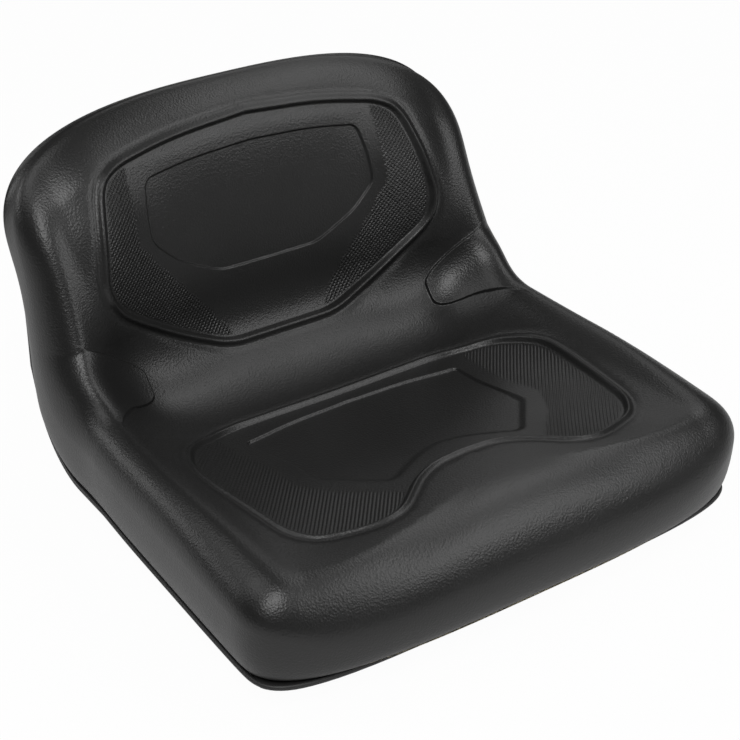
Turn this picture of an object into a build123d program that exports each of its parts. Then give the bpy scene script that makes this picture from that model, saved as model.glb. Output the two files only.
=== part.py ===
import math
import os

from build123d import *

os.makedirs("parts", exist_ok=True)

# Side line of the pan: flat seat, crease and reclined back, with the mounting face at zero height
FRONT_Y = -233.0
CORNER_Y = 163.0
RIM_Z = 26.0
RECLINE = 15.0
CREASE_RADIUS = 70.0

# Cushion outline on the unrolled sheet, lengths taken from the front rim
SEAT_HALF_WIDTH = 243.0
BACK_HALF_WIDTH = 232.0
NARROW_FROM = 400.0
NARROW_TO = 540.0
WAIST = 4.5
WAIST_AT = 330.0
WAIST_LENGTH = 75.0
FLARE = 3.5
FLARE_FROM = 240.0
FLARE_TO = 40.0
FRONT_END = -9.0
TOP_END = 664.0
FRONT_CORNER = 75.0
FRONT_SQUARENESS = 3.5
TOP_CORNER = 112.0
TOP_SQUARENESS = 2.7

# Rolled edge of the cushion
SIDE_ROLL = 34.0
FRONT_ROLL = 65.0
TOP_ROLL = 48.0
BULGE = 0.45
FRONT_BULGE = 0.34
TUCK = 9.5
TUCK_FADE_FROM = 525.0
TUCK_FADE_TO = 600.0
NOSE = 2.5
SKIRT = 14.0

# Cushion heights above the pan line, on five rails across the half width
FAN_RADIUS = 2 * CREASE_RADIUS
RAIL_AT = (0.0, 0.286, 0.52, 0.715, 0.865)
CREST_BLEND = 0.055
STATIONS = (-10, 25, 60, 130, 185, 240, 300, 370, 435, 500, 560, 610, 665)
CENTRE = (82, 91, 91, 80, 67, 54, 45, 37, 37, 43, 44, 41, 35)
INNER = (81, 90, 88, 78, 67, 55, 46, 38, 39, 44, 45, 42, 35)
MIDDLE = (79, 87, 83, 76, 67, 56, 49, 43, 47, 52, 52, 45, 35)
OUTER = (79, 86, 82, 77, 71, 66, 60, 53, 56, 64, 60, 46, 34)
BOLSTER = (82, 90, 93, 97, 98, 95, 94, 93, 85, 71, 56, 42, 33)

# Cover, and the panels, fields and notches pressed into it
COVER = 6.0
COVER_SLIP = 0.5
PANEL_DEPTH = 2.5
FIELD_DEPTH = 4.0
PANEL_CORNER = 16.0
FIELD_CORNER = 10.0
WING_CORNER = 6.0
BACK_PANEL = ((58, -38), (172, 28), (165, 98), (143, 139), (0, 148))
BACK_FIELD = ((58, 30), (95, 45), (117, 72), (116, 112), (100, 130), (0, 134))
SEAT_PANEL = ((112, 58), (181, 6), (181, -60), (171, -146), (140, -166), (98, -167), (58, -144), (0, -141))
SEAT_FIELD = ((92, 48), (126, 24), (122, -40), (88, -84), (50, -100), (0, -103))
WING_OUT = SEAT_HALF_WIDTH + 19.0
WING = ((152, 90), (152, 110), (214, 153), (WING_OUT, 184), (WING_OUT, 148), (222, 130))

# Pan, its ribs and raised back field
PAN_LIP = 2.0
PAN_WALL = 5.0
PAN_TOP_INSET = 1.0
PAN_SET_BACK = 7.0
PAN_SQUARENESS = 4.4
RIB_DEPTH = 12.0
RIB_WALL = 3.5
RIB_INSET = 36.0
RIB_PITCH = 62.0
RIB_REACH = 3
RIB_TOP = 110.0
PAN_FIELD = ((178, 0), (168, 140), (0, 152))
PAN_FIELD_CORNER = 30.0
PAN_FIELD_RISE = 6.0
PAN_FIELD_DRAFT = 35.0

# Bolt pattern, bosses and inserts
BOLT_X = 285.75
BOLT_Y = 203.2
BOLT_RADIUS = 4.0
BOLT_DEPTH = 21.0
BOSS_RADIUS = 15.0
INSERT_RADIUS = 6.5
INSERT_LENGTH = 16.0
FLANGE_RADIUS = 9.5
FLANGE_THICKNESS = 1.6

TURN = math.radians(90.0 - RECLINE)
FAN_START = CORNER_Y - FAN_RADIUS * math.tan(TURN / 2) - FRONT_Y
FAN_END = FAN_START + FAN_RADIUS * TURN
WIDE = 600.0


def smooth(xs, ys):
    """Natural cubic curve through the given heights."""
    n = len(xs)
    gap = [xs[i + 1] - xs[i] for i in range(n - 1)]
    slope = [(ys[i + 1] - ys[i]) / gap[i] for i in range(n - 1)]
    bend = [0.0] * n
    lead = [0.0] * n
    for i in range(1, n - 1):
        pivot = 2 * (gap[i - 1] + gap[i]) - gap[i - 1] * lead[i - 1]
        lead[i] = gap[i] / pivot
        bend[i] = (6 * (slope[i] - slope[i - 1]) - gap[i - 1] * bend[i - 1]) / pivot
    for i in range(n - 2, 0, -1):
        bend[i] -= lead[i] * bend[i + 1]

    def value(x):
        x = min(max(x, xs[0]), xs[-1])
        i = max(k for k in range(n - 1) if xs[k] <= x)
        a = xs[i + 1] - x
        b = x - xs[i]
        left = (ys[i] / gap[i] - bend[i] * gap[i] / 6) * a
        right = (ys[i + 1] / gap[i] - bend[i + 1] * gap[i] / 6) * b
        return left + right + (bend[i] * a**3 + bend[i + 1] * b**3) / (6 * gap[i])

    return value


RAILS = [smooth(STATIONS, heights) for heights in (CENTRE, INNER, MIDDLE, OUTER, BOLSTER)]


def spine(s):
    """Point and tilt of the line that the sections stand on, at length s."""
    tilt = min(max((s - FAN_START) / FAN_RADIUS, 0.0), TURN)
    run = max(s - FAN_END, 0.0)
    y = FRONT_Y + min(s, FAN_START) + FAN_RADIUS * math.sin(tilt) + run * math.cos(TURN)
    z = RIM_Z + FAN_RADIUS * (1 - math.cos(tilt)) + run * math.sin(TURN)
    return y, z, tilt


def pan_line(s):
    """Height of the pan line at length s: it turns a tighter corner than the spine."""
    tilt = spine(s)[2]
    spare = FAN_RADIUS - CREASE_RADIUS
    touch = math.atan2(spare * math.tan(TURN / 2), FAN_RADIUS)
    if touch < tilt < TURN - touch:
        lever = spare / math.cos(TURN / 2)
        off = tilt - TURN / 2
        reach = lever * math.cos(off) + math.sqrt(CREASE_RADIUS**2 - (lever * math.sin(off)) ** 2)
    else:
        reach = FAN_RADIUS / max(math.cos(tilt), math.cos(TURN - tilt))
    return FAN_RADIUS - reach


def ease(s, start, end):
    """Smooth share from 0 at the start to 1 at the end."""
    t = min(max((s - start) / (end - start), 0.0), 1.0)
    return t * t * (3 - 2 * t)


def side(s):
    """Half width of the sheet before its corners are rounded."""
    waist = WAIST * math.exp(-(((s - WAIST_AT) / WAIST_LENGTH) ** 2))
    flare = FLARE * ease(s, FLARE_FROM, FLARE_TO)
    narrowing = (SEAT_HALF_WIDTH - BACK_HALF_WIDTH) * ease(s, NARROW_FROM, NARROW_TO)
    return SEAT_HALF_WIDTH - narrowing - waist + flare


def end_zone(s, inset):
    """How far s lies into a rounded end, with that end's corner, squareness and roll."""
    if s < FAN_START:
        into = (FRONT_END + FRONT_CORNER - s) / (FRONT_CORNER - inset)
        return max(into, 0.0), FRONT_CORNER, FRONT_SQUARENESS, FRONT_ROLL
    into = (s - TOP_END + TOP_CORNER) / (TOP_CORNER - inset)
    return max(into, 0.0), TOP_CORNER, TOP_SQUARENESS, TOP_ROLL


def half_width(s, inset=0.0):
    """Half width of the outline at length s, drawn in by an inset."""
    into, corner, power, roll = end_zone(s, inset)
    return (side(s) - inset) * max(1 - into**power, 0.0) ** (1 / power)


def face_height(x, s):
    """Height of the sculpted face before its edge is rolled; it levels out over the crest."""
    heights = [rail(s) for rail in RAILS]
    across = [-a for a in RAIL_AT[:0:-1]] + list(RAIL_AT)
    out = x / side(s)
    over = min(max(out - RAIL_AT[-1] + CREST_BLEND, 0.0), 2 * CREST_BLEND)
    out = min(out, RAIL_AT[-1] - CREST_BLEND) + over - over**2 / (4 * CREST_BLEND)
    return smooth(across, heights[:0:-1] + heights)(out)


def bulge_height(full, s, endways):
    """Height at which the rolled edge is widest."""
    rim = pan_line(s)
    share = BULGE + (FRONT_BULGE - BULGE) * math.sqrt(endways) if s < FAN_START else BULGE
    return rim + share * (full - rim)


def rolled_height(x, s, inset):
    """Height of the sculpted face with its rolled edge."""
    into, corner, power, end_roll = end_zone(s, inset)
    out = x / (side(s) - inset)
    reach = out**power + into**power
    endways = into**power / reach if reach else 0.0
    share = math.sqrt(endways)
    roll = SIDE_ROLL / side(s) * (1 - share) + end_roll / corner * share
    fall = 1 - min((1 - min(reach, 1.0) ** (1 / power)) / roll, 1.0)
    full = face_height(x, s) - inset
    bulge = bulge_height(full, s, endways)
    return bulge + (full - bulge) * math.sqrt(1 - fall**2)


def half_section(s, inset):
    """Half of a cross section, from below the rim round the bulge to the middle of the face."""
    into, corner, power, end_roll = end_zone(s, inset)
    width = half_width(s, inset)
    rim = pan_line(s)
    bulge = bulge_height(face_height(width, s) - inset, s, min(into**power, 1.0))
    tuck = TUCK * (1 - ease(s, TUCK_FADE_FROM, TUCK_FADE_TO))
    draw = min(tuck, 0.6 * (s - FRONT_END - inset), 0.6 * (TOP_END - inset - s))
    foot = half_width(s, inset + draw)
    waist = half_width(s, inset + 0.2 * draw)
    points = [(foot, rim - SKIRT), (foot, rim), (waist, rim + 0.4 * (bulge - rim)), (width, bulge)]
    for fraction in (0.992, 0.97, 0.93, 0.865, 0.8, 0.715, 0.6, 0.45, 0.25, 0.0):
        points.append((fraction * width, rolled_height(fraction * width, s, inset)))
    return points


def whole_section(s, inset):
    half = half_section(s, inset)
    return [Vector(x, h) for x, h in half] + [Vector(-x, h) for x, h in half[-2::-1]]


def cushion_stations(inset):
    """Lengths at which sections stand, closer together in the rolled ends."""
    first = FRONT_END + inset + NOSE
    last = TOP_END - inset - NOSE
    front = [first + share * FRONT_CORNER for share in (0, 0.05, 0.13, 0.27, 0.48, 0.8)]
    top = [last - share * TOP_CORNER for share in (0.55, 0.36, 0.2, 0.09, 0.03, 0)]
    steps = 11
    return front + [front[-1] + (top[0] - front[-1]) * k / steps for k in range(1, steps)] + top


def cushion_body(inset):
    """Cushion form drawn in by an inset, tucked under at the front and running on below the pan line."""
    sample = whole_section(FAN_START / 2, 0.0)
    lengths = [0.0]
    for here, there in zip(sample, sample[1:]):
        lengths.append(lengths[-1] + (there - here).length)
    knots = [length / lengths[-1] for length in lengths]
    sections = []
    for s in cushion_stations(inset):
        y, z, tilt = spine(s)
        plane = Plane((0, y, z), x_dir=(-1, 0, 0), z_dir=(0, math.cos(tilt), math.sin(tilt)))
        points = whole_section(s, inset)
        with BuildSketch(plane) as section:
            with BuildLine():
                add(Edge.make_spline(points, parameters=knots))
                Line(points[-1], points[0])
            make_face()
        sections.append(section.sketch)
    nose = FRONT_Y + FRONT_END + inset
    low = RIM_Z - 2 * SKIRT
    belly = bulge_height(face_height(0, FRONT_END) - inset, FRONT_END, 1.0) + RIM_Z
    with BuildPart() as body:
        loft(sections)
        with BuildSketch(Plane.YZ):
            with BuildLine():
                TangentArc((nose, belly), (nose + TUCK, RIM_Z), tangent=(0, -1))
                Polyline((nose + TUCK, RIM_Z), (nose + TUCK, low), (nose - WIDE, low))
                Polyline((nose - WIDE, low), (nose - WIDE, belly), (nose, belly))
            make_face()
        extrude(amount=WIDE / 2, both=True, mode=Mode.SUBTRACT)
    return body.part


def side_line(drop):
    """Corner points of the pan's side line, dropped outwards."""
    corner = (CORNER_Y + drop * math.tan(TURN / 2), RIM_Z - drop)
    top = (corner[0] + WIDE * math.cos(TURN), corner[1] + WIDE * math.sin(TURN))
    return (FRONT_Y - WIDE, RIM_Z - drop), corner, top


def sheet(upper, lower):
    """Bent sheet between two drops below the pan line, wider than the seat."""
    with BuildPart() as bent:
        with BuildSketch(Plane.YZ):
            with BuildLine():
                inner = FilletPolyline(*side_line(upper), radius=CREASE_RADIUS + upper)
                outer = FilletPolyline(*side_line(lower), radius=CREASE_RADIUS + lower)
                Line(inner @ 0, outer @ 0)
                Line(inner @ 1, outer @ 1)
            make_face()
        extrude(amount=WIDE / 2, both=True)
    return bent.part


BACK_PLANE = Plane((0, *spine(FAN_END)[:2]), x_dir=(1, 0, 0), z_dir=(0, -math.sin(TURN), math.cos(TURN)))


def mirrored(half):
    """Full outline from its right half, whose points on the middle line are kept once."""
    return list(half) + [(-x, y) for x, y in reversed(half) if x]


def prism(outline, plane, radius):
    """Solid standing both ways on a plane, over an outline with rounded corners."""
    with BuildPart() as block:
        with BuildSketch(plane):
            with BuildLine():
                FilletPolyline(*outline, radius=radius, close=True)
            make_face()
        extrude(amount=WIDE / 3, both=True)
    return block.part


def pressing(block, floor):
    """Tool that presses the face down to a lower floor inside a block."""
    with BuildPart() as tool:
        add(block)
        add(floor, mode=Mode.SUBTRACT)
    return tool.part


def rounded_end(half, length, power):
    """Right half of a rounded end, from its middle to the side."""
    turns = [math.radians(a) for a in (0, 1, 6, 16, 30, 45, 60, 75, 85, 90)]
    sines = [math.sin(a) ** (2 / power) for a in turns]
    cosines = [math.cos(a) ** (2 / power) for a in turns]
    return [(half * across, length * along) for across, along in zip(sines, cosines)]


def seat_outline(inset):
    """Solid over the plan of the pan under the seat, set back at the front and open towards the back."""
    corner_s = FRONT_END + FRONT_CORNER
    half = side(corner_s) - inset
    reach = FRONT_CORNER - inset - PAN_SET_BACK
    end = [(x, FRONT_Y + corner_s - y) for x, y in rounded_end(half, reach, PAN_SQUARENESS)]
    steps = [corner_s + (FAN_START - corner_s) * k / 4 for k in range(1, 5)]
    flank = [(side(s) - inset, FRONT_Y + s) for s in steps]
    with BuildPart() as block:
        with BuildSketch(Plane.XY):
            with BuildLine():
                Spline(*[(-x, y) for x, y in end[:0:-1]], *end)
                for way in (1, -1):
                    Polyline(*[(way * x, y) for x, y in end[-1:] + flank])
                last = flank[-1][0]
                Polyline(flank[-1], (last, WIDE), (-last, WIDE), (-last, flank[-1][1]))
            make_face()
        extrude(amount=WIDE, both=True)
    return block.part


def back_outline(inset, top_inset):
    """Solid over the outline of the back, open downwards."""
    low = SEAT_HALF_WIDTH - inset
    half = BACK_HALF_WIDTH - inset
    corner = TOP_END - TOP_CORNER - FAN_END
    end = [(x, corner + y) for x, y in rounded_end(half, TOP_CORNER - top_inset, TOP_SQUARENESS)]
    narrow_from = NARROW_FROM - FAN_END
    narrow_to = NARROW_TO - FAN_END
    with BuildPart() as block:
        with BuildSketch(BACK_PLANE):
            with BuildLine():
                Spline(*[(-x, y) for x, y in end[:0:-1]], *end)
                for way in (1, -1):
                    Line((way * half, corner), (way * half, narrow_to))
                    Spline((way * half, narrow_to), (way * low, narrow_from), tangents=((0, -1), (0, -1)))
                Polyline((low, narrow_from), (low, -WIDE), (-low, -WIDE), (-low, narrow_from))
            make_face()
        extrude(amount=WIDE, both=True)
    return block.part


SEAT_PLANE = Plane.XY.offset(RIM_Z)
FRONT_PLANE = Plane.XZ.offset(-CORNER_Y)
BOLTS = [(x * BOLT_X / 2, y * BOLT_Y / 2) for x in (-1, 1) for y in (-1, 1)]
under_pan = sheet(0.0, WIDE / 6)
panel_floor = cushion_body(PANEL_DEPTH)
field_floor = cushion_body(FIELD_DEPTH)

# Cover: sculpted face with pressed panels, fields and wing notches, hollow for the foam
with BuildPart() as seat_cover:
    add(cushion_body(0.0))
    add(pressing(prism(mirrored(BACK_PANEL), BACK_PLANE, PANEL_CORNER), panel_floor), mode=Mode.SUBTRACT)
    add(pressing(prism(mirrored(BACK_FIELD), BACK_PLANE, FIELD_CORNER), field_floor), mode=Mode.SUBTRACT)
    add(pressing(prism(mirrored(SEAT_PANEL), SEAT_PLANE, PANEL_CORNER), panel_floor), mode=Mode.SUBTRACT)
    add(pressing(prism(mirrored(SEAT_FIELD), SEAT_PLANE, FIELD_CORNER), field_floor), mode=Mode.SUBTRACT)
    notch = pressing(prism(WING, FRONT_PLANE, WING_CORNER), panel_floor)
    add(notch, mode=Mode.SUBTRACT)
    add(mirror(notch, about=Plane.YZ, mode=Mode.PRIVATE), mode=Mode.SUBTRACT)
    add(cushion_body(COVER), mode=Mode.SUBTRACT)
    add(under_pan, mode=Mode.SUBTRACT)

# Foam: fills the cover down to the pan
with BuildPart() as foam_cushion:
    add(cushion_body(COVER + COVER_SLIP))
    add(under_pan, mode=Mode.SUBTRACT)

# Pan: bent sheet with a raised back field, ribs and four bosses
rim_inset = TUCK - PAN_LIP
with BuildPart() as rib_grid:
    with Locations(*[(k * RIB_PITCH, 0, 0) for k in range(-RIB_REACH, RIB_REACH + 1)]):
        Box(RIB_WALL, WIDE, WIDE)
    with Locations(*[(0, k * RIB_PITCH, 0) for k in range(-RIB_REACH, RIB_REACH - 1)]):
        Box(WIDE, RIB_WALL, WIDE)
    add(sheet(PAN_WALL / 2, PAN_WALL + RIB_DEPTH), mode=Mode.INTERSECT)
    add(seat_outline(RIB_INSET), mode=Mode.INTERSECT)
    with Locations((0, 0, RIB_TOP / 2)):
        Box(WIDE, WIDE, RIB_TOP, mode=Mode.INTERSECT)

with BuildPart() as seat_pan:
    add(sheet(0.0, PAN_WALL))
    add(seat_outline(rim_inset), mode=Mode.INTERSECT)
    add(back_outline(rim_inset, PAN_TOP_INSET), mode=Mode.INTERSECT)
    with BuildSketch(BACK_PLANE.offset(-PAN_WALL)):
        with BuildLine():
            FilletPolyline(*mirrored(PAN_FIELD), radius=PAN_FIELD_CORNER, close=True)
        make_face()
    extrude(amount=-PAN_FIELD_RISE, taper=PAN_FIELD_DRAFT)
    add(rib_grid.part)
    with BuildSketch(Plane.XY):
        with Locations(*BOLTS):
            Circle(BOSS_RADIUS)
    extrude(amount=RIM_Z - PAN_WALL / 2)
    with BuildSketch(Plane.XY):
        with Locations(*BOLTS):
            Circle(BOLT_RADIUS)
    extrude(amount=BOLT_DEPTH, mode=Mode.SUBTRACT)
    with BuildSketch(Plane.XY):
        with Locations(*BOLTS):
            Circle(INSERT_RADIUS)
    extrude(amount=INSERT_LENGTH, mode=Mode.SUBTRACT)
    with BuildSketch(Plane.XY):
        with Locations(*BOLTS):
            Circle(FLANGE_RADIUS)
    extrude(amount=FLANGE_THICKNESS, mode=Mode.SUBTRACT)

# Threaded inserts: flanged sleeves moulded into the bosses
with BuildPart() as threaded_inserts:
    with BuildSketch(Plane.XY):
        with Locations(*BOLTS):
            Circle(FLANGE_RADIUS)
            Circle(BOLT_RADIUS, mode=Mode.SUBTRACT)
    extrude(amount=FLANGE_THICKNESS)
    with BuildSketch(Plane.XY):
        with Locations(*BOLTS):
            Circle(INSERT_RADIUS)
            Circle(BOLT_RADIUS, mode=Mode.SUBTRACT)
    extrude(amount=INSERT_LENGTH)

seat_cover.part.label = "seat_cover"
foam_cushion.part.label = "foam_cushion"
seat_pan.part.label = "seat_pan"
threaded_inserts.part.label = "threaded_inserts"
export_step(seat_cover.part, "parts/seat_cover.step")
export_step(foam_cushion.part, "parts/foam_cushion.step")
export_step(seat_pan.part, "parts/seat_pan.step")
export_step(threaded_inserts.part, "parts/threaded_inserts.step")
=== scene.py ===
import math

import bpy
import numpy as np
from mathutils import Matrix, Vector, geometry


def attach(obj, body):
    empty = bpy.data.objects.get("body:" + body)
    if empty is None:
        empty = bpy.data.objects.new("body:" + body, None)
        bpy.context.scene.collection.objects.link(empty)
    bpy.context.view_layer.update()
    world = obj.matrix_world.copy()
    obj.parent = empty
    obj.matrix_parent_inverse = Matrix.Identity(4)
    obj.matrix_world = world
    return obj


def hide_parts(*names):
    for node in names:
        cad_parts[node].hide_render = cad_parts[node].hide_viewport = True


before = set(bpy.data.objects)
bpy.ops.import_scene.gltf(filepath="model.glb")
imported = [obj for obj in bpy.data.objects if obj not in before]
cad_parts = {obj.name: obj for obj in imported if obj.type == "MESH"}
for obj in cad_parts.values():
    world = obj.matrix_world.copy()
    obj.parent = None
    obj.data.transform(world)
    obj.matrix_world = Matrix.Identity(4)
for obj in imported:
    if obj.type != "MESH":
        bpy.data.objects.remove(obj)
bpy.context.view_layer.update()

# Cushion form, in millimetres: the sheet is measured by x across and s along the line from front to top
FRONT_Y, CORNER_Y, RIM_Z = -233.0, 163.0, 26.0
FAN_RADIUS, CREASE_RADIUS, TURN = 140.0, 70.0, math.radians(75.0)
FAN_START = CORNER_Y - FAN_RADIUS * math.tan(TURN / 2) - FRONT_Y
FAN_END = FAN_START + FAN_RADIUS * TURN

# Half widths of the seat and the back, drawn in at the hips and let out at the thighs;
# a pair such as SEAT_TO_BACK is the stretch of s over which one value passes into the next
SEAT_HALF, BACK_HALF = 243.0, 232.0
SEAT_TO_BACK = (400.0, 540.0)
HIP_DRAW, HIP_AT, HIP_LENGTH = 4.5, 330.0, 75.0
THIGH_FLARE = 3.5
FLARE_FADE = (40.0, 240.0)

# Ends of the outline: where it ends, how long its corners are, their power and the width of the rolled edge
FRONT_END, FRONT_CORNER, FRONT_POWER, FRONT_ROLL = -9.0, 75.0, 3.4, 62.0
TOP_END, TOP_CORNER, TOP_POWER, TOP_ROLL = 664.0, 112.0, 2.7, 52.0

# Widths of the rolled edge along the sides, what the corners add, and where each passes into the next
THIGH_ROLL, SEAT_ROLL, BACK_ROLL, CORNER_ROLL = 46.0, 27.0, 28.0, 16.0
THIGH_TO_SEAT_ROLL = (30.0, 200.0)
SEAT_TO_BACK_ROLL = (380.0, 500.0)

# Height at which the wall is widest, as a share of the face's height, and how far its foot is drawn in,
# or let out where that is below zero; the middle of the top adds the last value
BULGE, BACK_BULGE, FRONT_BULGE, TOP_BULGE = 0.62, 0.42, 0.34, 0.1
SEAT_TO_BACK_BULGE = (300.0, 480.0)
TUCK, TOP_TUCK, TOP_MIDDLE_TUCK = 9.0, -4.0, 3.0
TUCK_TO_TOP = (450.0, 640.0)

# Heights of the face over the spine: one row for each rail, from the middle line out, at each station
RAIL_AT = np.array((0, 0.286, 0.52, 0.715, 0.86))
CREST_BLEND = 0.045
STATIONS = np.array((-10, 25, 60, 130, 185, 240, 300, 370, 435, 500, 560, 610, 665.0))
RAILS = np.array(
    (
        (80, 91, 91, 80, 67, 54, 45, 37, 36, 43, 45, 43, 33),
        (80, 90, 88, 78, 67, 55, 46, 38, 38, 44, 46, 44, 33),
        (80, 87, 82, 75, 67, 56, 49, 42, 47, 52, 52, 45, 33),
        (78, 84, 82, 78, 72.5, 68, 63, 56, 57, 63, 62, 47, 33),
        (77, 83, 86, 88, 87, 86, 87, 87, 82, 70, 56, 41, 33.0),
    )
)
# Order of the rails across the whole width, from the left edge to the right
RAIL_ORDER = [4, 3, 2, 1, 0, 1, 2, 3, 4]

# Lines pressed into the face, right half, as (x, s) corners with a rounding length each
BACK_PANEL = (
    (0, 418, 0), (57, 418, 16), (112, 450, 30), (163, 491, 18), (172.5, 514, 12),
    (164, 562, 20), (154, 600, 16), (136, 612, 14), (75, 624.5, 30), (0, 630, 0),
)
BACK_FIELD = (
    (0, 496, 0), (52, 496.5, 10), (94, 517, 12), (117.5, 540, 9), (116, 568, 12),
    (110.5, 595, 8), (62, 602.5, 20), (0, 605.5, 0),
)
SEAT_PANEL = (
    (0, 287, 0), (112, 286, 20), (160, 264, 18), (183, 224, 20), (183, 190, 20), (171, 94, 14),
    (157, 75, 10), (110, 59, 16), (88, 62, 12), (53, 91, 14), (30, 101, 12), (0, 103, 0),
)
SEAT_FIELD = (
    (0, 270, 0), (60, 266, 20), (113, 257, 5), (108, 214, 12), (107, 154, 4),
    (66, 104, 10), (22, 128, 14), (0, 133, 0),
)
WING = (
    (222, 484, 0), (159, 421, 5), (152, 411, 4), (152, 377, 5),
    (159, 368, 6), (186, 355, 10), (204, 316, 14), (214, 280, 0),
)
CORNER_STEPS, ROUNDING_LIMIT = 9, 0.48
# Inner edges of the textured wedges beside the fields, right half, as (x, s) corners
BACK_WEDGE = ((51, 426), (66, 456), (104, 505), (131.5, 541), (130.5, 571), (128, 616))
SEAT_WEDGE = ((131, 262), (126, 211), (125.5, 186), (128.5, 155), (109, 123), (73, 84), (66, 70))
WEDGE_INSET, WEDGE_RIM_BLUR, WEDGE_BLUR = 4.2, 1.6, 1.4

# Pressed relief: depth of each panel or field and the slope across its line, from outside to inside;
# a bead or a groove beside a line is (height, distance out, width)
BACK_PANEL_DEPTH, BACK_FOOT_DEPTH = 3.0, 2.5
BACK_FOOT_FROM, BACK_FOOT_TO = 500.0, 430.0
BACK_PANEL_SLOPE = (-1.5, 2.8)
BACK_BEAD, BACK_GROOVE = (2.0, 2.6, 2.5), (1.1, 8.0, 3.0)
SEAT_PANEL_DEPTH = 2.4
SEAT_PANEL_SLOPE = (-1.2, 2.6)
SEAT_BEAD, SEAT_GROOVE = (1.9, 2.0, 2.2), (0.9, 7.0, 2.8)
BACK_FIELD_DEPTH, SEAT_FIELD_DEPTH, FIELD_SLOPE = 2.2, 2.4, 1.0
SOFT_FRONT_FROM, SOFT_FRONT_TO, SOFT_FRONT_SLOPE = 185.0, 150.0, 3.0
WING_DEPTH, WING_SLOPE = 3.0, 0.9
WING_FADE = (192.0, 220.0)

# Mesh of the cover, in millimetres on the sheet
EDGE_SPACING = 2.4
CORNER_POINTS, SIDE_POINTS = 400, 600
ROLL_TURNS = np.radians(np.arange(40, 91, 5))
PANEL_ROWS = (
    -9, -6.5, -4.8, -3.6, -2.8, -2, -1.2, -0.4, 0.4, 1.2, 2, 2.8, 3.6, 4.5, 5.5, 6.5, 7.5, 8.5, 10, 12,
)
FIELD_ROWS = (-6, -3.5, -2.2, -1.4, -0.9, -0.45, 0, 0.45, 0.9, 1.4, 2.2, 3.5, 6)
PANEL_STEP, FIELD_STEP, NOTCH_STEP = 2.6, 2.4, 1.8
GRID_PITCH, GRID_ROW, GRID_HALF, GRID_FROM, GRID_TO = 4.2, 0.87, 240, -20, 670.0
PANEL_CLEAR, LINE_CLEAR, EDGE_CLEAR, MERGE = 13.0, 7.5, 1.3, 0.55
# Rows of the cover's wall: way down, inset and height over the pan, ending turned under the lower edge
WALL_LIFT = 2.4
WALL_ROWS = [(k, 0.0, WALL_LIFT) for k in (0.2, 0.4, 0.58, 0.72, 0.83, 0.91, 0.965, 1)]
WALL_ROWS += [(1, 0.7, 1.5), (1, 1.9, 0.9), (1, 5.0, 0.5)]
UNDER_ROWS, UNDER_GAP = (0.8, 0.4, 0.0), 0.3

# Foam core inside the cover
FOAM_SPACING, FOAM_INSET, FOAM_WALL_INSET, FOAM_GAP = 9.0, 16.0, 9.0, 0.6
FOAM_FACE_ROWS = (0.0, 0.2, 0.4, 0.6, 0.75, 0.85, 0.92, 0.96)
FOAM_WALL_ROWS = (0.2, 0.6, 0.85, 0.97)
FOAM_UNDER_ROWS = (0.9, 0.5, 0.0)

# Bead on the pan's edge, along both sides and the front of the seat
BEAD_INSET, BEAD_SET_BACK, BEAD_POWER = 8.2, 15.2, 4.4
BEAD_RADIUS, BEAD_DROP, BEAD_SIDES = 2.2, 0.2, 12
BEAD_FROM, BEAD_STEP, BEAD_CORNER_POINTS = 330.0, 4.0, 90

# Studio, in metres and watts
FLOOR_HALF, FLOOR_Z = 6.0, -0.0004
FLOOR_WHITE, FLOOR_MIRRORED = 0.97, 0.2
WORLD_STRENGTH, WORLD_WHITE, WORLD_MIRRORED = 0.04, 1.0, 0.03
LIT_POINT, DOME = Vector((0, 0, 0.15)), 2.3
# Softboxes on the dome: name, degrees round from the front to the right, degrees up, watts and size
SOFTBOXES = (
    ("key_left", 320, 52, 25.0, (1.1, 1.1)),
    ("key_rear", 235, 55, 9.0, (1.4, 1.2)),
    ("rear_left", 220, 18, 5.0, (1.2, 0.6)),
    ("front_right", 32, 33, 14.0, (1.3, 1.0)),
    ("right_top", 72, 58, 9.0, (1.3, 1.0)),
    ("right_high", 118, 54, 5.5, (1.3, 1.0)),
    ("right_low", 146, 25, 3.0, (1.8, 1.0)),
)
CAMERA_AT, CAMERA_AIM = Vector((-0.71035, -1.03125, 0.85995)), Vector((0, 0, 0.1195))
CAMERA_ROLL, SENSOR, LENS = math.radians(0.044), 36.0, 81.8

MM_PER_METRE = 1000
FAR, TINY = 1e9, 1e-9


def bends(xs):
    """Matrix that turns heights into the second slopes of a natural cubic curve."""
    gap = np.diff(xs)
    left = np.eye(len(xs))
    right = np.zeros_like(left)
    for i in range(1, len(xs) - 1):
        a, b = gap[i - 1], gap[i]
        left[i, i - 1 : i + 2] = a, 2 * (a + b), b
        right[i, i - 1 : i + 2] = 6 / a, -6 / a - 6 / b, 6 / b
    return np.linalg.solve(left, right)


def curve(xs, ys, bend, x):
    """Natural cubic curve at x; ys and bend hold one row for each x, or one row for all."""
    i = np.clip(np.searchsorted(xs, x, side="right") - 1, 0, len(xs) - 2)
    gap = np.diff(xs)[i]
    a, b = xs[i + 1] - x, x - xs[i]
    row = np.arange(len(x)) if ys.ndim == 2 else None
    y0, y1, b0, b1 = (t[i + k] if row is None else t[row, i + k] for t in (ys, bend) for k in (0, 1))
    straight = (y0 / gap - b0 * gap / 6) * a + (y1 / gap - b1 * gap / 6) * b
    return straight + (b0 * a**3 + b1 * b**3) / (6 * gap)


ALONG_BENDS = bends(STATIONS)
ACROSS = np.concatenate((-RAIL_AT[:0:-1], RAIL_AT))
ACROSS_BENDS = bends(ACROSS)


def step(x, low, high):
    """Smooth step from 0 at low to 1 at high."""
    t = np.clip((x - low) / (high - low), 0, 1)
    return t * t * (3 - 2 * t)


def units(vectors):
    """Vectors in rows, scaled to length 1."""
    return vectors / np.maximum(np.linalg.norm(vectors, axis=1), TINY)[:, None]


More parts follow.
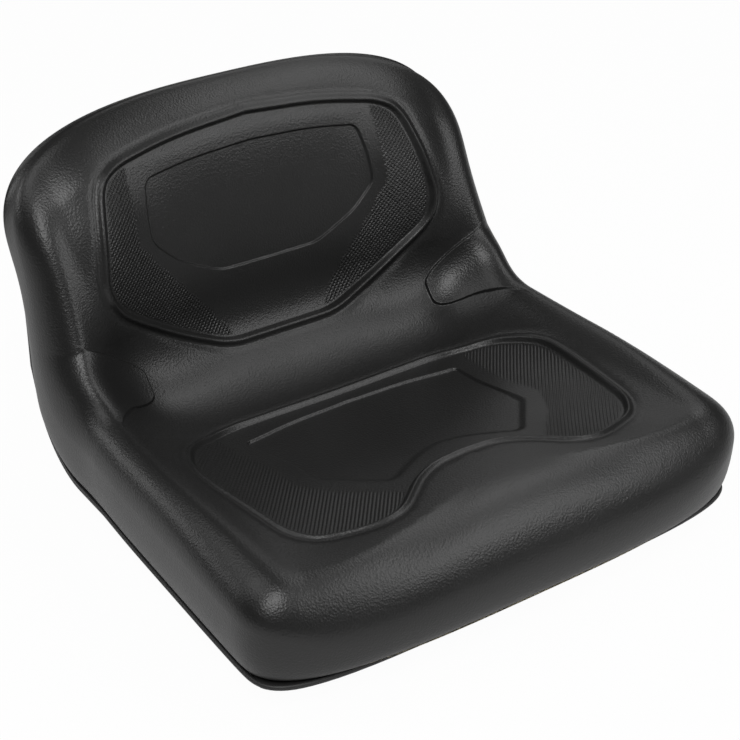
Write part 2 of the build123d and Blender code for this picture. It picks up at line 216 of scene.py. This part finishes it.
def side(s):
    """Half width of the outline along its sides."""
    waist = HIP_DRAW * np.exp(-(((s - HIP_AT) / HIP_LENGTH) ** 2)) - THIGH_FLARE * (1 - step(s, *FLARE_FADE))
    return SEAT_HALF + (BACK_HALF - SEAT_HALF) * step(s, *SEAT_TO_BACK) - waist


def spine(s):
    """The bent line that the sheet stands on: y, z and tilt."""
    tilt = np.clip((s - FAN_START) / FAN_RADIUS, 0, TURN)
    run = np.maximum(s - FAN_END, 0)
    y = FRONT_Y + np.minimum(s, FAN_START) + FAN_RADIUS * np.sin(tilt) + run * math.cos(TURN)
    z = RIM_Z + FAN_RADIUS * (1 - np.cos(tilt)) + run * math.sin(TURN)
    return y, z, tilt


def place(x, s, h):
    """Point at x and s, at a height h square to the spine."""
    y, z, tilt = spine(s)
    return np.stack((x, y - h * np.sin(tilt), z + h * np.cos(tilt)), -1)


def pan_line(s):
    """Height of the pan under the cushion, which turns a tighter corner than the spine."""
    tilt = spine(s)[2]
    spare = FAN_RADIUS - CREASE_RADIUS
    touch = math.atan2(spare * math.tan(TURN / 2), FAN_RADIUS)
    lever, off = spare / math.cos(TURN / 2), tilt - TURN / 2
    inner = lever * np.cos(off) + np.sqrt(np.maximum(CREASE_RADIUS**2 - (lever * np.sin(off)) ** 2, 0))
    outer = FAN_RADIUS / np.maximum(np.cos(tilt), np.cos(TURN - tilt))
    return FAN_RADIUS - np.where((tilt > touch) & (tilt < TURN - touch), inner, outer)


def face(x, s):
    """Height of the sculpted face before its edge is rolled."""
    at = np.clip(s, STATIONS[0], STATIONS[-1])
    rails = np.stack([curve(STATIONS, r, ALONG_BENDS @ r, at) for r in RAILS], -1)
    heights = rails[:, RAIL_ORDER]
    out = np.abs(x) / side(s)
    over = np.clip(out - RAIL_AT[-1] + CREST_BLEND, 0, 2 * CREST_BLEND)
    out = np.minimum(out, RAIL_AT[-1] - CREST_BLEND) + over - over**2 / (4 * CREST_BLEND)
    return curve(ACROSS, heights, heights @ ACROSS_BENDS.T, out)


# Length v along the face, taken at one x, which is shorter than s inside the crease
TABLE_X = 110
TABLE_S = np.arange(-40.0, 700.0, 1.0)
IN_FAN = (TABLE_S > FAN_START) & (TABLE_S < FAN_END)
FACE_SHARE = np.where(IN_FAN, 1 - face(0 * TABLE_S + TABLE_X, TABLE_S) / FAN_RADIUS, 1.0)
TABLE_V = np.concatenate(((0,), np.cumsum((FACE_SHARE[1:] + FACE_SHARE[:-1]) / 2))) + TABLE_S[0]


def to_v(s):
    """Length along the face for a length along the spine."""
    return np.interp(s, TABLE_S, TABLE_V)


def to_s(v):
    """Length along the spine for a length along the face."""
    return np.interp(v, TABLE_V, TABLE_S)


def outline(half, closed=True):
    """Dense line in (x, v) from the right half's corners, each rounded by its own length."""
    p = np.array([(x, to_v(s), r) for x, s, r in half])
    if closed:
        p = np.concatenate((p, (p * (-1, 1, 1))[-2:0:-1]))
    points = []
    for i in range(len(p)):
        here, cut = p[i, :2], p[i, 2]
        if not closed and i in (0, len(p) - 1):
            points.append(here)
            continue
        ends = []
        for other in (p[i - 1, :2], p[(i + 1) % len(p), :2]):
            far = np.linalg.norm(other - here)
            ends.append(here + (other - here) / far * min(cut, ROUNDING_LIMIT * far))
        for t in np.linspace(0, 1, CORNER_STEPS if cut else 1):
            points.append((1 - t) ** 2 * ends[0] + 2 * t * (1 - t) * here + t * t * ends[1])
    return np.array(points)


def distance(line, x, v, closed=True):
    """Signed distance to a line, below zero inside a closed one and to the right of an open one."""
    a = line if closed else line[:-1]
    b = np.roll(line, -1, axis=0) if closed else line[1:]
    best = np.full(len(x), FAR)
    inside = np.zeros(len(x), bool)
    right = np.zeros(len(x), bool)
    for (ax, ay), (bx, by) in zip(a, b):
        dx, dy = bx - ax, by - ay
        size = dx * dx + dy * dy
        if size == 0:
            continue
        t = np.clip(((x - ax) * dx + (v - ay) * dy) / size, 0, 1)
        d = np.hypot(x - ax - t * dx, v - ay - t * dy)
        near = d < best
        best = np.where(near, d, best)
        right = np.where(near, dx * (v - ay) - dy * (x - ax) < 0, right)
        if dy:
            inside ^= ((ay > v) != (by > v)) & (x < ax + (v - ay) * dx / dy)
    return np.where(inside if closed else right, -best, best)


LINES = {
    "back_panel": outline(BACK_PANEL),
    "back_field": outline(BACK_FIELD),
    "seat_panel": outline(SEAT_PANEL),
    "seat_field": outline(SEAT_FIELD),
    "wing": outline(WING, closed=False),
}


def ridge(d, height, middle, width):
    """Rounded ridge beside a line, by the distance from it."""
    return height * np.exp(-(((d - middle) / width) ** 2))


def pressed(x, s):
    """Height that the panels, beads, fields and wing notches add to the face."""
    v = to_v(s)
    rise = np.zeros(len(x))
    d = distance(LINES["back_panel"], x, v)
    foot = step(-v, -to_v(BACK_FOOT_FROM), -to_v(BACK_FOOT_TO))
    rise -= (BACK_PANEL_DEPTH + BACK_FOOT_DEPTH * foot) * step(-d, *BACK_PANEL_SLOPE)
    rise += ridge(d, *BACK_BEAD) - ridge(d, *BACK_GROOVE)
    d = distance(LINES["back_field"], x, v)
    rise -= BACK_FIELD_DEPTH * step(-d, -FIELD_SLOPE, FIELD_SLOPE)
    d = distance(LINES["seat_panel"], x, v)
    rise -= SEAT_PANEL_DEPTH * step(-d, *SEAT_PANEL_SLOPE)
    rise += ridge(d, *SEAT_BEAD) - ridge(d, *SEAT_GROOVE)
    d = distance(LINES["seat_field"], x, v)
    slope = FIELD_SLOPE + SOFT_FRONT_SLOPE * step(-v, -SOFT_FRONT_FROM, -SOFT_FRONT_TO)
    rise -= SEAT_FIELD_DEPTH * step(-d, -slope, slope)
    d = distance(LINES["wing"], np.abs(x), v, closed=False)
    fade = 1 - step(np.abs(x), *WING_FADE)
    rise -= WING_DEPTH * fade * step(-d, -WING_SLOPE, WING_SLOPE)
    return rise


def roll_share(endways, s):
    """Width of the rolled edge, as a share of the way from the outline to the middle line."""
    front = s < FAN_START
    corner = np.where(front, FRONT_CORNER, TOP_CORNER)
    end = np.where(front, FRONT_ROLL, TOP_ROLL)
    power = np.where(front, FRONT_POWER, TOP_POWER)
    across = THIGH_ROLL + (SEAT_ROLL - THIGH_ROLL) * step(s, *THIGH_TO_SEAT_ROLL)
    across = across + (BACK_ROLL - SEAT_ROLL) * step(s, *SEAT_TO_BACK_ROLL)
    width = across + (end - across) * step(endways, 0.0, 1.0) + CORNER_ROLL * 4 * endways * (1 - endways)
    bend = (power - 1) / power
    return width * np.hypot((1 - endways) ** bend / side(s), endways**bend / corner)


def bulge_share(endways, s):
    """Height at which the wall is widest, as a share of the face's height."""
    across = BULGE + (BACK_BULGE - BULGE) * step(s, *SEAT_TO_BACK_BULGE)
    end = np.where(s < FAN_START, FRONT_BULGE, TOP_BULGE)
    return across + (end - across) * step(endways, 0.0, 1.0)


def reach(x, s):
    """How far a point lies from the middle line towards the outline, and how far endways."""
    front = s < FAN_START
    power = np.where(front, FRONT_POWER, TOP_POWER)
    into_front = (FRONT_END + FRONT_CORNER - s) / FRONT_CORNER
    into_top = (s - TOP_END + TOP_CORNER) / TOP_CORNER
    into = np.maximum(np.where(front, into_front, into_top), 0) ** power
    total = into + (np.abs(x) / side(s)) ** power
    endways = np.divide(into, total, out=np.zeros_like(total), where=total > 0)
    return total ** (1 / power), endways


def surface(x, s, inset=0.0):
    """Point of the finished face at x and s, or of the plain face drawn in by an inset."""
    g, endways = reach(x, s)
    fall = 1 - np.clip((1 - g) / roll_share(endways, s), 0, 1)
    full = face(x, s) - inset
    if not inset:
        full = full + pressed(x, s)
    rim = pan_line(s)
    bulge = rim + bulge_share(endways, s) * (full - rim)
    return place(x, s, bulge + (full - bulge) * np.sqrt(np.maximum(1 - fall**2, 0)))


def along(line, run, at):
    """Points of a line at lengths along it, where run is the length at each of its own points."""
    return np.stack([np.interp(at, run, column) for column in line.T], -1)


def perimeter(spacing):
    """Stations round the outline: factor across, base length, gain along, share of endways."""
    front_base, top_base = FRONT_END + FRONT_CORNER, TOP_END - TOP_CORNER
    half = []
    for t in np.radians(np.linspace(0, 90, CORNER_POINTS)):
        a, b = (abs(f(t)) ** (2 / FRONT_POWER) for f in (math.sin, math.cos))
        half.append((a, front_base, -FRONT_CORNER * b, b**FRONT_POWER))
    for s in np.linspace(front_base, top_base, SIDE_POINTS)[1:-1]:
        half.append((1.0, s, 0.0, 0.0))
    for t in np.radians(np.linspace(0, 90, CORNER_POINTS)):
        a, b = (abs(f(t)) ** (2 / TOP_POWER) for f in (math.cos, math.sin))
        half.append((a, top_base, TOP_CORNER * b, b**TOP_POWER))
    half = np.array(half)
    s = half[:, 1] + half[:, 2]
    run = np.hypot(np.diff(half[:, 0] * side(s)), np.diff(to_v(s)))
    run = np.concatenate(((0,), np.cumsum(run)))
    half = along(half, run, np.linspace(0, run[-1], int(run[-1] / spacing)))
    return np.concatenate((half, (half * (-1, 1, 1, 1))[-2:0:-1]))


def ring(stations, g=1.0, inset=0.0):
    """x and s of the outline scaled by g towards the middle line and drawn in by an inset."""
    a, base, gain, _ = stations.T
    corner = np.where(base < FAN_START, FRONT_CORNER, TOP_CORNER)
    return a * (g * side(base + gain) - inset), base + g * gain - inset * gain / corner


def wall(stations, k, inset=0.0, lift=0.0):
    """Row of the side wall, from the bulge at k 0 to the tucked rim at k 1, lifted clear of the pan."""
    x, s = ring(stations)
    endways = stations[:, 3]
    rim = pan_line(s)
    top = rim + bulge_share(endways, s) * (face(x, s) - rim)
    draw = TUCK + (TOP_TUCK + TOP_MIDDLE_TUCK * endways**2 - TUCK) * step(s, *TUCK_TO_TOP)
    x, s = ring(stations, 1.0, draw * (1 - math.sqrt(1 - k**2)) + inset)
    rim = pan_line(s)
    return place(x, s, rim + lift + (top - rim - lift) * (1 - k))


def strips(rows):
    """Quads between closed rows, each row given by the numbers of its points."""
    quads = [np.stack((b, np.roll(b, -1), np.roll(a, -1), a), -1) for a, b in zip(rows, rows[1:])]
    return np.concatenate(quads)


def line_rows(name, offsets, spacing, closed=True):
    """Points on rows beside a line, left out where the rows run into each other."""
    tangent_step, tolerance = 0.5, 0.1
    line = np.concatenate((LINES[name], LINES[name][:1])) if closed else LINES[name]
    run = np.concatenate(((0,), np.cumsum(np.linalg.norm(np.diff(line, axis=0), axis=1))))
    at = np.arange(0, run[-1], spacing)
    p = along(line, run, at)
    ahead = units(along(line, run, at + tangent_step) - along(line, run, at - tangent_step))
    rows = []
    for off in offsets:
        q = p + off * np.stack((ahead[:, 1], -ahead[:, 0]), -1)
        keep = np.abs(distance(LINES[name], q[:, 0], q[:, 1], closed)) > abs(off) - tolerance
        rows.append(q[keep])
    return np.concatenate(rows)


def inner_points(loop):
    """Points of the face's mesh in (x, v): rows beside the pressed lines and an even grid elsewhere."""
    rows = [line_rows(name, PANEL_ROWS, PANEL_STEP) for name in ("back_panel", "seat_panel")]
    rows += [line_rows(name, FIELD_ROWS, FIELD_STEP) for name in ("back_field", "seat_field")]
    notch = line_rows("wing", FIELD_ROWS, NOTCH_STEP, closed=False)
    rows += [notch, notch * (-1, 1)]
    across = np.arange(-GRID_HALF, GRID_HALF, GRID_PITCH)
    gx, gv = np.meshgrid(across, np.arange(GRID_FROM, to_v(GRID_TO), GRID_PITCH * GRID_ROW))
    gx[1::2] += GRID_PITCH / 2
    grid = np.stack((gx.ravel(), gv.ravel()), -1)
    gap = np.full(len(grid), FAR)
    for name, line in LINES.items():
        clear = PANEL_CLEAR if name.endswith("panel") else LINE_CLEAR
        closed = name != "wing"
        for way in (1,) if closed else (1, -1):
            d = distance(line, grid[:, 0] * way, grid[:, 1], closed)
            gap = np.minimum(gap, np.abs(d) / clear)
    points = np.concatenate((*rows, grid[gap > 1]))
    kept = np.unique(np.round(points / MERGE).astype(int), axis=0, return_index=True)[1]
    points = points[np.sort(kept)]
    return points[distance(loop, points[:, 0], points[:, 1]) < -EDGE_CLEAR]


def face_triangles(loop):
    """Flat points and triangles inside a loop, and the numbers that the loop's own points have there."""
    count = len(loop)
    given = [Vector(p) for p in np.concatenate((loop, inner_points(loop)))]
    edges = [(i, (i + 1) % count) for i in range(count)]
    made = geometry.delaunay_2d_cdt(given, edges, [], 1, 1e-5)
    flat = np.array([tuple(p) for p in made[0]])
    source = np.array([min(origin, default=-1) for origin in made[3]])
    known = np.nonzero(source >= 0)[0]
    number = np.full(len(given), -1)
    number[source[known]] = known
    triangles = np.array([tuple(f) for f in made[2]])
    a, b, c = (flat[triangles[:, k]] for k in range(3))
    turn = (b - a)[:, 0] * (c - a)[:, 1] - (b - a)[:, 1] * (c - a)[:, 0]
    triangles[turn < 0] = triangles[turn < 0][:, ::-1]
    return flat, triangles, number[:count]


def face_normals(x, s):
    """Normals of the finished face by small differences along the sheet."""
    nudge = 0.15
    across = surface(x + nudge, s) - surface(x - nudge, s)
    return units(np.cross(across, surface(x, s + nudge) - surface(x, s - nudge)))


def quad_normals(places, quads):
    """Normals at the points of quads, each from the quads round it."""
    corner = [places[quads[:, k]] for k in range(4)]
    area = np.cross(corner[2] - corner[0], corner[3] - corner[1])
    summed = np.zeros_like(places)
    for k in range(4):
        np.add.at(summed, quads[:, k], area)
    return units(summed)


def wedge_marks(xs, v):
    """Strength of the texture on the wedges of the back and of the seat, from 0 to 1."""
    marks = {}
    for name, half, way in (("back", BACK_WEDGE, 1), ("seat", SEAT_WEDGE, -1)):
        wedge = np.array([(x, to_v(s)) for x, s in half])
        deep = -distance(LINES[name + "_panel"], xs, v) - WEDGE_INSET
        out = way * distance(wedge, np.abs(xs), v, closed=False)
        inside = np.clip(0.5 + deep / WEDGE_RIM_BLUR, 0, 1)
        marks["hatch_" + name] = inside * np.clip(0.5 - out / WEDGE_BLUR, 0, 1)
    return marks


def new_object(name, points, faces, uv=None, normals=None, values=None):
    """Smooth mesh object from points in millimetres, with a UV map, normals and values at its points."""
    mesh = bpy.data.meshes.new(name)
    mesh.from_pydata((points / MM_PER_METRE).tolist(), [], [tuple(f) for f in faces])
    mesh.polygons.foreach_set("use_smooth", [True] * len(mesh.polygons))
    if uv is not None:
        layer = mesh.uv_layers.new(name="sheet")
        corner = np.empty(len(mesh.loops), int)
        mesh.loops.foreach_get("vertex_index", corner)
        layer.data.foreach_set("uv", (uv / MM_PER_METRE)[corner].astype(np.float32).ravel())
    for key, value in (values or {}).items():
        mesh.attributes.new(key, "FLOAT", "POINT").data.foreach_set("value", value.astype(np.float32))
    mesh.update()
    if normals is not None:
        mesh.normals_split_custom_set_from_vertices(normals.tolist())
    made = bpy.data.objects.new(name, mesh)
    bpy.context.scene.collection.objects.link(made)
    return made


def build_cover():
    """Cover: face with its pressed lines, rolled edge, side wall turned under, and underside."""
    stations = perimeter(EDGE_SPACING)
    count = len(stations)
    roll = roll_share(stations[:, 3], stations[:, 1] + stations[:, 2])
    rings = [ring(stations, 1 - roll * (1 - math.sin(t))) for t in ROLL_TURNS]
    flat, triangles, edge = face_triangles(np.stack((rings[0][0], to_v(rings[0][1])), -1))
    x, s = flat[:, 0], to_s(flat[:, 1])

    # Each part holds its x, its s and its places; the parts after the face are rows round the outline
    parts = [(x, s, surface(x, s))]
    parts += [(rx, rs, surface(rx, rs)) for rx, rs in rings[1:]]
    parts += [(*rings[-1], wall(stations, *row)) for row in WALL_ROWS]
    for g in UNDER_ROWS:
        ux, us = ring(stations, g)
        parts.append((ux, us, place(ux, us, pan_line(us) + UNDER_GAP)))
    xs, ss, places = (np.concatenate(column) for column in zip(*parts))
    rows = [edge, *(len(x) + count * k + np.arange(count) for k in range(len(parts) - 1))]
    quads = strips(rows)

    v = to_v(ss)
    on_face = np.arange(len(xs)) < len(x)
    marks = {name: mark * on_face for name, mark in wedge_marks(xs, v).items()}
    normals = np.concatenate((face_normals(x, s), quad_normals(places, quads)[len(x) :]))
    faces = [*triangles.tolist(), *quads.tolist()]
    return new_object("cover", places, faces, np.stack((xs, v), -1), normals, marks)


def build_foam():
    """Foam core inside the cover, in the same form drawn in."""
    stations = perimeter(FOAM_SPACING)
    count = len(stations)
    rows = [surface(*ring(stations, g), inset=FOAM_INSET) for g in FOAM_FACE_ROWS]
    rows += [wall(stations, k, inset=FOAM_WALL_INSET) for k in FOAM_WALL_ROWS]
    for g in FOAM_UNDER_ROWS:
        x, s = ring(stations, g)
        rows.append(place(x, s, pan_line(s) + FOAM_GAP))
    faces = strips([count * k + np.arange(count) for k in range(len(rows))])
    return new_object("foam_core", np.concatenate(rows), faces.tolist())


def build_rim():
    """Rolled bead round the edge of the pan, along both sides and the front of the seat."""
    front_base = FRONT_END + FRONT_CORNER
    line = [(side(s) - BEAD_INSET, s) for s in np.arange(BEAD_FROM, front_base, -BEAD_STEP)]
    for t in np.linspace(0, math.pi / 2, BEAD_CORNER_POINTS):
        a, b = (abs(f(t)) ** (2 / BEAD_POWER) for f in (math.cos, math.sin))
        line.append((a * (side(front_base) - BEAD_INSET), front_base - (FRONT_CORNER - BEAD_SET_BACK) * b))
    line = np.array(line)
    line = np.concatenate((line, (line * (-1, 1))[-2::-1]))
    middle = place(line[:, 0], line[:, 1], pan_line(line[:, 1]) - BEAD_RADIUS - BEAD_DROP)
    tilt = spine(line[:, 1])[2]
    up = np.stack((0 * tilt, -np.sin(tilt), np.cos(tilt)), -1)
    out = units(np.cross(units(np.gradient(middle, axis=0)), up))
    angles = np.linspace(0, 2 * math.pi, BEAD_SIDES, endpoint=False)
    rows = [middle + BEAD_RADIUS * (math.cos(a) * out + math.sin(a) * up) for a in angles]
    sections = np.arange(len(middle) * BEAD_SIDES).reshape(-1, BEAD_SIDES)
    faces = strips(sections)[:, ::-1].tolist()
    faces += [sections[0, ::-1].tolist(), sections[-1].tolist()]
    return new_object("pan_rim", np.stack(rows, 1).reshape(-1, 3), faces)


def node(tree, kind, links=(), **values):
    """New shader node; values set its inputs by name or its own settings."""
    made = tree.nodes.new(kind)
    for key, value in values.items():
        if hasattr(made, key):
            setattr(made, key, value)
        else:
            made.inputs[key.replace("_", " ")].default_value = value
    for socket, source in links:
        tree.links.new(source, made.inputs[socket])
    return made


def maths(tree, operation, first, second):
    """Output of a math node; second is another output or a plain number."""
    made = node(tree, "ShaderNodeMath", [(0, first)], operation=operation)
    if isinstance(second, (int, float)):
        made.inputs[1].default_value = second
    else:
        tree.links.new(second, made.inputs[1])
    return made.outputs[0]


def material(name):
    """New material with its node tree and its main shader."""
    made = bpy.data.materials.new(name)
    made.use_nodes = True
    return made, made.node_tree, made.node_tree.nodes["Principled BSDF"]


def noise(tree, scale, detail):
    """Noise fixed to the object, in metres."""
    at = node(tree, "ShaderNodeTexCoord").outputs["Object"]
    return node(tree, "ShaderNodeTexNoise", [("Vector", at)], Scale=scale, Detail=detail).outputs["Fac"]


def cells(tree, scale):
    """Distance to the nearest of scattered cells fixed to the object, in metres."""
    at = node(tree, "ShaderNodeTexCoord").outputs["Object"]
    return node(tree, "ShaderNodeTexVoronoi", [("Vector", at)], Scale=scale).outputs["Distance"]


def bumped(tree, height, strength, depth, links=()):
    """Normal raised by a height, to a depth in metres."""
    made = node(tree, "ShaderNodeBump", [("Height", height), *links], Strength=strength, Distance=depth)
    return made.outputs[0]


def dress(tree, base, colour, pattern, tones, roughness, normal):
    """Gives the shader a colour and a roughness that a pattern varies between two ends, and a normal."""
    tone = node(tree, "ShaderNodeMapRange", [("Value", pattern)], To_Min=tones[0], To_Max=tones[1])
    tint = node(tree, "ShaderNodeMixRGB", [(2, tone.outputs[0])], blend_type="MULTIPLY", Fac=1.0)
    tint.inputs[1].default_value = (*colour, 1)
    rough = node(tree, "ShaderNodeMapRange", [("Value", pattern)], To_Min=roughness[0], To_Max=roughness[1])
    tree.links.new(tint.outputs[0], base.inputs["Base Color"])
    tree.links.new(rough.outputs[0], base.inputs["Roughness"])
    tree.links.new(normal, base.inputs["Normal"])


def lines(tree, split, run, pitch):
    """Wave across straight lines on the sheet that run in a direction, at a pitch in metres."""
    size = math.hypot(*run) * pitch / (2 * math.pi)
    across = maths(tree, "MULTIPLY", split.outputs["X"], run[1] / size)
    both = maths(tree, "ADD", across, maths(tree, "MULTIPLY", split.outputs["Y"], -run[0] / size))
    return node(tree, "ShaderNodeMath", [(0, both)], operation="SINE").outputs[0]


def vinyl():
    """Black vinyl with a pressed grain, cross-hatched wedges on the back and ribbed ones on the seat."""
    made, tree, base = material("grained_vinyl")
    grain = maths(tree, "ADD", cells(tree, scale=560.0), noise(tree, scale=520.0, detail=2.0))
    sheet = node(tree, "ShaderNodeUVMap", uv_map="sheet")
    split = node(tree, "ShaderNodeSeparateXYZ", [("Vector", sheet.outputs["UV"])])
    hatch_pitch, rib_pitch, rib_run = 0.003, 0.00305, (0.62, 0.785)
    waves = [lines(tree, split, run, hatch_pitch) for run in ((1, 1), (-1, 1))]
    hatch = maths(tree, "MAXIMUM", *waves)
    ribs = lines(tree, split, rib_run, rib_pitch)
    normal = bumped(tree, grain, strength=0.5, depth=0.0003)
    for height, name, depth in ((hatch, "hatch_back", 0.0004), (ribs, "hatch_seat", 0.00022)):
        mask = node(tree, "ShaderNodeAttribute", attribute_name=name)
        held = maths(tree, "MULTIPLY", height, mask.outputs["Fac"])
        normal = bumped(tree, held, strength=0.9, depth=depth, links=[("Normal", normal)])
    broad = noise(tree, scale=14.0, detail=3.0)
    colour = (0.011, 0.011, 0.0108)
    dress(tree, base, colour, broad, tones=(0.85, 1.15), roughness=(0.31, 0.39), normal=normal)
    return made


def plastic():
    """Black moulded plastic with a fine matt grain."""
    made, tree, base = material("moulded_plastic")
    normal = bumped(tree, noise(tree, scale=1400.0, detail=2.0), strength=0.3, depth=0.0002)
    broad = noise(tree, scale=20.0, detail=4.0)
    colour = (0.022, 0.022, 0.022)
    dress(tree, base, colour, broad, tones=(0.8, 1.2), roughness=(0.42, 0.58), normal=normal)
    return made


def steel():
    """Zinc-plated steel."""
    made, tree, base = material("zinc_steel")
    base.inputs["Metallic"].default_value = 1.0
    fine = noise(tree, scale=600.0, detail=3.0)
    normal = bumped(tree, fine, strength=0.15, depth=0.0001)
    colour = (0.62, 0.62, 0.60)
    dress(tree, base, colour, fine, tones=(0.75, 1.1), roughness=(0.25, 0.42), normal=normal)
    return made


def foam():
    """Yellowish open-celled foam."""
    made, tree, base = material("open_cell_foam")
    pores = cells(tree, scale=500.0)
    normal = bumped(tree, pores, strength=0.6, depth=0.0006)
    colour = (0.62, 0.55, 0.38)
    dress(tree, base, colour, pores, tones=(0.7, 1.1), roughness=(0.85, 1.0), normal=normal)
    return made


def white_to_camera(tree, white_kind, shaded, share, mirrored_share):
    """Mixes plain white into a shader by a share for the camera and a smaller one for reflections."""
    path = node(tree, "ShaderNodeLightPath").outputs
    mirrored = maths(tree, "MAXIMUM", path["Is Glossy Ray"], path["Is Transmission Ray"])
    dimmed = maths(tree, "MULTIPLY", mirrored, mirrored_share)
    part = maths(tree, "MAXIMUM", maths(tree, "MULTIPLY", path["Is Camera Ray"], share), dimmed)
    white = node(tree, white_kind, Color=(1, 1, 1, 1), Strength=1.0)
    return node(tree, "ShaderNodeMixShader", [(0, part), (1, shaded), (2, white.outputs[0])]).outputs[0]


def build_floor():
    """Pale floor that is white to the camera and clear from below, so that the underside can be seen."""
    mesh = bpy.data.meshes.new("floor")
    corners = [(FLOOR_HALF * x, FLOOR_HALF * y, FLOOR_Z) for x, y in ((-1, -1), (1, -1), (1, 1), (-1, 1))]
    mesh.from_pydata(corners, [], [(0, 1, 2, 3)])
    made = bpy.data.objects.new("floor", mesh)
    bpy.context.scene.collection.objects.link(made)
    pale, tree, base = material("pale_floor")
    speck = node(tree, "ShaderNodeTexNoise", Scale=3.0)
    tone = node(tree, "ShaderNodeMapRange", [("Value", speck.outputs["Fac"])], To_Min=0.78, To_Max=0.82)
    tree.links.new(tone.outputs[0], base.inputs["Base Color"])
    base.inputs["Roughness"].default_value = 0.9
    whitened = white_to_camera(tree, "ShaderNodeEmission", base.outputs[0], FLOOR_WHITE, FLOOR_MIRRORED)
    below = node(tree, "ShaderNodeNewGeometry").outputs["Backfacing"]
    clear = node(tree, "ShaderNodeBsdfTransparent").outputs[0]
    one_sided = node(tree, "ShaderNodeMixShader", [(0, below), (1, whitened), (2, clear)])
    tree.links.new(one_sided.outputs[0], tree.nodes["Material Output"].inputs["Surface"])
    mesh.materials.append(pale)


def build_world():
    """Faint even light all round, white to the camera."""
    world = bpy.data.worlds.new("studio")
    bpy.context.scene.world = world
    world.use_nodes = True
    tree = world.node_tree
    back = tree.nodes["Background"]
    back.inputs["Color"].default_value = (1, 1, 1, 1)
    back.inputs["Strength"].default_value = WORLD_STRENGTH
    sky = white_to_camera(tree, "ShaderNodeBackground", back.outputs[0], WORLD_WHITE, WORLD_MIRRORED)
    tree.links.new(sky, tree.nodes["World Output"].inputs["Surface"])


def softbox(name, around, up, watts, size):
    """Softbox on a dome round the seat, facing the lit point."""
    data = bpy.data.lights.new(name, "AREA")
    data.shape = "RECTANGLE"
    data.size, data.size_y = size
    data.energy = watts
    lamp = bpy.data.objects.new(name, data)
    turned = Matrix.Rotation(math.radians(around), 3, "Z")
    way = turned @ Matrix.Rotation(math.radians(-up), 3, "X") @ Vector((0, -1, 0))
    lamp.location = LIT_POINT + DOME * way
    lamp.rotation_euler = (-way).to_track_quat("-Z", "Y").to_euler()
    bpy.context.scene.collection.objects.link(lamp)


def build_camera():
    """Camera at the photo's angle."""
    data = bpy.data.cameras.new("camera")
    data.sensor_width = SENSOR
    data.lens = LENS
    camera = bpy.data.objects.new("camera", data)
    camera.location = CAMERA_AT
    level = (CAMERA_AIM - CAMERA_AT).to_track_quat("-Z", "Y")
    camera.rotation_euler = (level @ Matrix.Rotation(CAMERA_ROLL, 3, "Z").to_quaternion()).to_euler()
    bpy.context.scene.collection.objects.link(camera)
    bpy.context.scene.camera = camera


cover = build_cover()
core = build_foam()
rim = build_rim()
core.data.materials.append(foam())
cover.data.materials.append(vinyl())
shell = plastic()
rim.data.materials.append(shell)
for name, made in (("seat_pan", shell), ("threaded_inserts", steel())):
    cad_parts[name].data.materials.clear()
    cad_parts[name].data.materials.append(made)

for piece, stands_for in ((cover, "seat_cover"), (core, "foam_cushion")):
    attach(piece, "root")
    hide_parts(stands_for)
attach(rim, "root")

build_floor()
build_world()
for lamp in SOFTBOXES:
    softbox(*lamp)
build_camera()
bpy.context.scene.view_settings.view_transform = "Standard"
